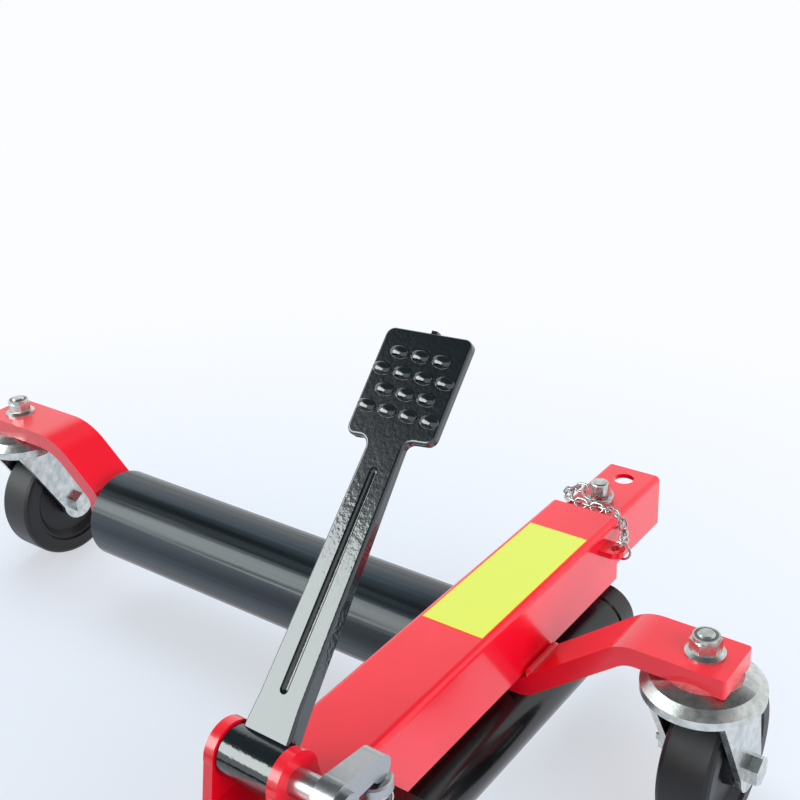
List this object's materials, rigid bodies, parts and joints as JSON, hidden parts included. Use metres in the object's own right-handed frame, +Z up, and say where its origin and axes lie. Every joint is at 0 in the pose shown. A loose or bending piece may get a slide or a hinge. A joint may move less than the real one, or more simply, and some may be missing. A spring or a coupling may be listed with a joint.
{
  "type": "vehicle positioning jack",
  "caption": "Red hydraulic wheel dolly: roller arms on swivel castors, a telescoping square tube, a black foot pedal and a chained lock pin, closed under a tyre to lift it",
  "frame": {"origin": "on the floor under the middle of the whole dolly", "axes": "+Z up, +Y along the main tube towards its open far end, +X from the rollers towards the tube"},
  "size_m": [0.664, 0.786, 0.3223],
  "materials": {
    "red_enamel": "smooth glossy red enamel",
    "black_roller": "satin black enamel",
    "roller_plug_plastic": "matt black",
    "bright_steel": "turned bright steel",
    "rod_chrome": "polished chrome",
    "black_enamel": "glossy black enamel",
    "black_casting": "glossy black coated casting",
    "zinc": "bright zinc plating",
    "lock_nylon": "blue nylon",
    "decal_film": "plain yellow film",
    "castor_tread": "moulded black rubber"
  },
  "bodies": {
    "frame": {"outer_tube": "red_enamel", "arm_a_right": "red_enamel", "arm_a_left": "red_enamel", "shaft_lug_a": "red_enamel", "roller_shaft_a": "bright_steel", "arm_a_weld": "red_enamel", "chain_eye": "red_enamel", "blank_decal": "decal_film", "ram_barrel": "black_enamel", "ram_end_cap": "black_enamel", "ram_gland": "black_enamel", "ram_hangers": "black_enamel", "pedal_cheeks": "red_enamel", "pump_block": "black_enamel", "pump_screws": "zinc", "pump_tank": "black_enamel", "pressure_pipe": "black_enamel", "king_bolts_a": "zinc", "king_nuts_a": "zinc", "nut_rings_a": "lock_nylon", "race_caps_a": "zinc", "chain_lower": "zinc", "pump_spring": "zinc"},
    "carriage": {"inner_tube": "red_enamel", "arm_b_socket": "red_enamel", "socket_end_plate": "red_enamel", "arm_b_right": "red_enamel", "arm_b_left": "red_enamel", "shaft_lug_b": "red_enamel", "roller_shaft_b": "bright_steel", "arm_b_weld": "red_enamel", "ram_bracket": "red_enamel", "ram_rod": "rod_chrome", "ram_piston": "bright_steel", "king_bolts_b": "zinc", "king_nuts_b": "zinc", "nut_rings_b": "lock_nylon", "race_caps_b": "zinc", "chain_upper": "zinc"},
    "roller_a_turn": {"roller_a": "black_roller", "roller_plugs_a": "roller_plug_plastic"},
    "roller_b_turn": {"roller_b": "black_roller", "roller_plugs_b": "roller_plug_plastic"},
    "pin": {"lock_pin": "zinc"},
    "pedal": {"pedal_lever": "black_casting", "pedal_crank": "bright_steel"},
    "plunger": {"pump_plunger": "bright_steel"},
    "valve": {"release_valve": "zinc"},
    "swivel_al": {"castor_al_fork": "zinc", "castor_al_axle": "zinc"},
    "wheel_al": {"castor_al_wheel": "castor_tread"},
    "swivel_ar": {"castor_ar_fork": "zinc", "castor_ar_axle": "zinc"},
    "wheel_ar": {"castor_ar_wheel": "castor_tread"},
    "swivel_bl": {"castor_bl_fork": "zinc", "castor_bl_axle": "zinc"},
    "wheel_bl": {"castor_bl_wheel": "castor_tread"},
    "swivel_br": {"castor_br_fork": "zinc", "castor_br_axle": "zinc"},
    "wheel_br": {"castor_br_wheel": "castor_tread"}
  },
  "joints": [
    {"name": "carriage_slide", "type": "slide", "parent": "frame", "child": "carriage", "axis": [0, 1, 0], "range_m": [0, 0.05], "deforming": ["chain_lower"]},
    {"name": "pin_lift", "type": "slide", "parent": "carriage", "child": "pin", "axis": [0, 0, 1], "range_m": [0, 0.05], "deforming": ["chain_upper"]},
    {"name": "pedal_turn", "type": "hinge", "parent": "frame", "child": "pedal", "pos_m": [0.166, 0.002, 0.156], "axis": [-1, 0, 0], "range_deg": [0, 40], "stiffness_Nm_per_rad": 8, "springref_deg": -20.05},
    {"name": "plunger_stroke", "type": "slide", "parent": "frame", "child": "plunger", "axis": [0, 0, -1], "range_m": [0, 0.0197], "deforming": ["pump_spring"]},
    {"name": "valve_turn", "type": "hinge", "parent": "frame", "child": "valve", "pos_m": [0.231, 0.04, 0.086], "axis": [1, 0, 0], "range_deg": [0, 90]},
    {"name": "roller_a_spin", "type": "hinge", "parent": "frame", "child": "roller_a_turn", "pos_m": [-0.029, 0.216, 0.077], "axis": [1, 0, 0], "continuous": true},
    {"name": "swivel_al_turn", "type": "hinge", "parent": "frame", "child": "swivel_al", "pos_m": [-0.297, 0.216, 0.115], "axis": [0, 0, 1], "continuous": true},
    {"name": "wheel_al_spin", "type": "hinge", "parent": "swivel_al", "child": "wheel_al", "pos_m": [-0.297, 0.24, 0.049], "axis": [1, 0, 0], "continuous": true},
    {"name": "swivel_ar_turn", "type": "hinge", "parent": "frame", "child": "swivel_ar", "pos_m": [0.297, 0.216, 0.115], "axis": [0, 0, 1], "continuous": true},
    {"name": "wheel_ar_spin", "type": "hinge", "parent": "swivel_ar", "child": "wheel_ar", "pos_m": [0.297, 0.24, 0.049], "axis": [1, 0, 0], "continuous": true},
    {"name": "roller_b_spin", "type": "hinge", "parent": "carriage", "child": "roller_b_turn", "pos_m": [-0.029, -0.343, 0.077], "axis": [1, 0, 0], "continuous": true},
    {"name": "swivel_bl_turn", "type": "hinge", "parent": "carriage", "child": "swivel_bl", "pos_m": [-0.297, -0.343, 0.115], "axis": [0, 0, 1], "continuous": true},
    {"name": "wheel_bl_spin", "type": "hinge", "parent": "swivel_bl", "child": "wheel_bl", "pos_m": [-0.297, -0.319, 0.049], "axis": [1, 0, 0], "continuous": true},
    {"name": "swivel_br_turn", "type": "hinge", "parent": "carriage", "child": "swivel_br", "pos_m": [0.297, -0.343, 0.115], "axis": [0, 0, 1], "continuous": true},
    {"name": "wheel_br_spin", "type": "hinge", "parent": "swivel_br", "child": "wheel_br", "pos_m": [0.297, -0.319, 0.049], "axis": [1, 0, 0], "continuous": true}
  ],
  "couplings": [
    {"joint": "plunger_stroke", "follows": "pedal_turn", "m_per_rad": 0.028}
  ]
}
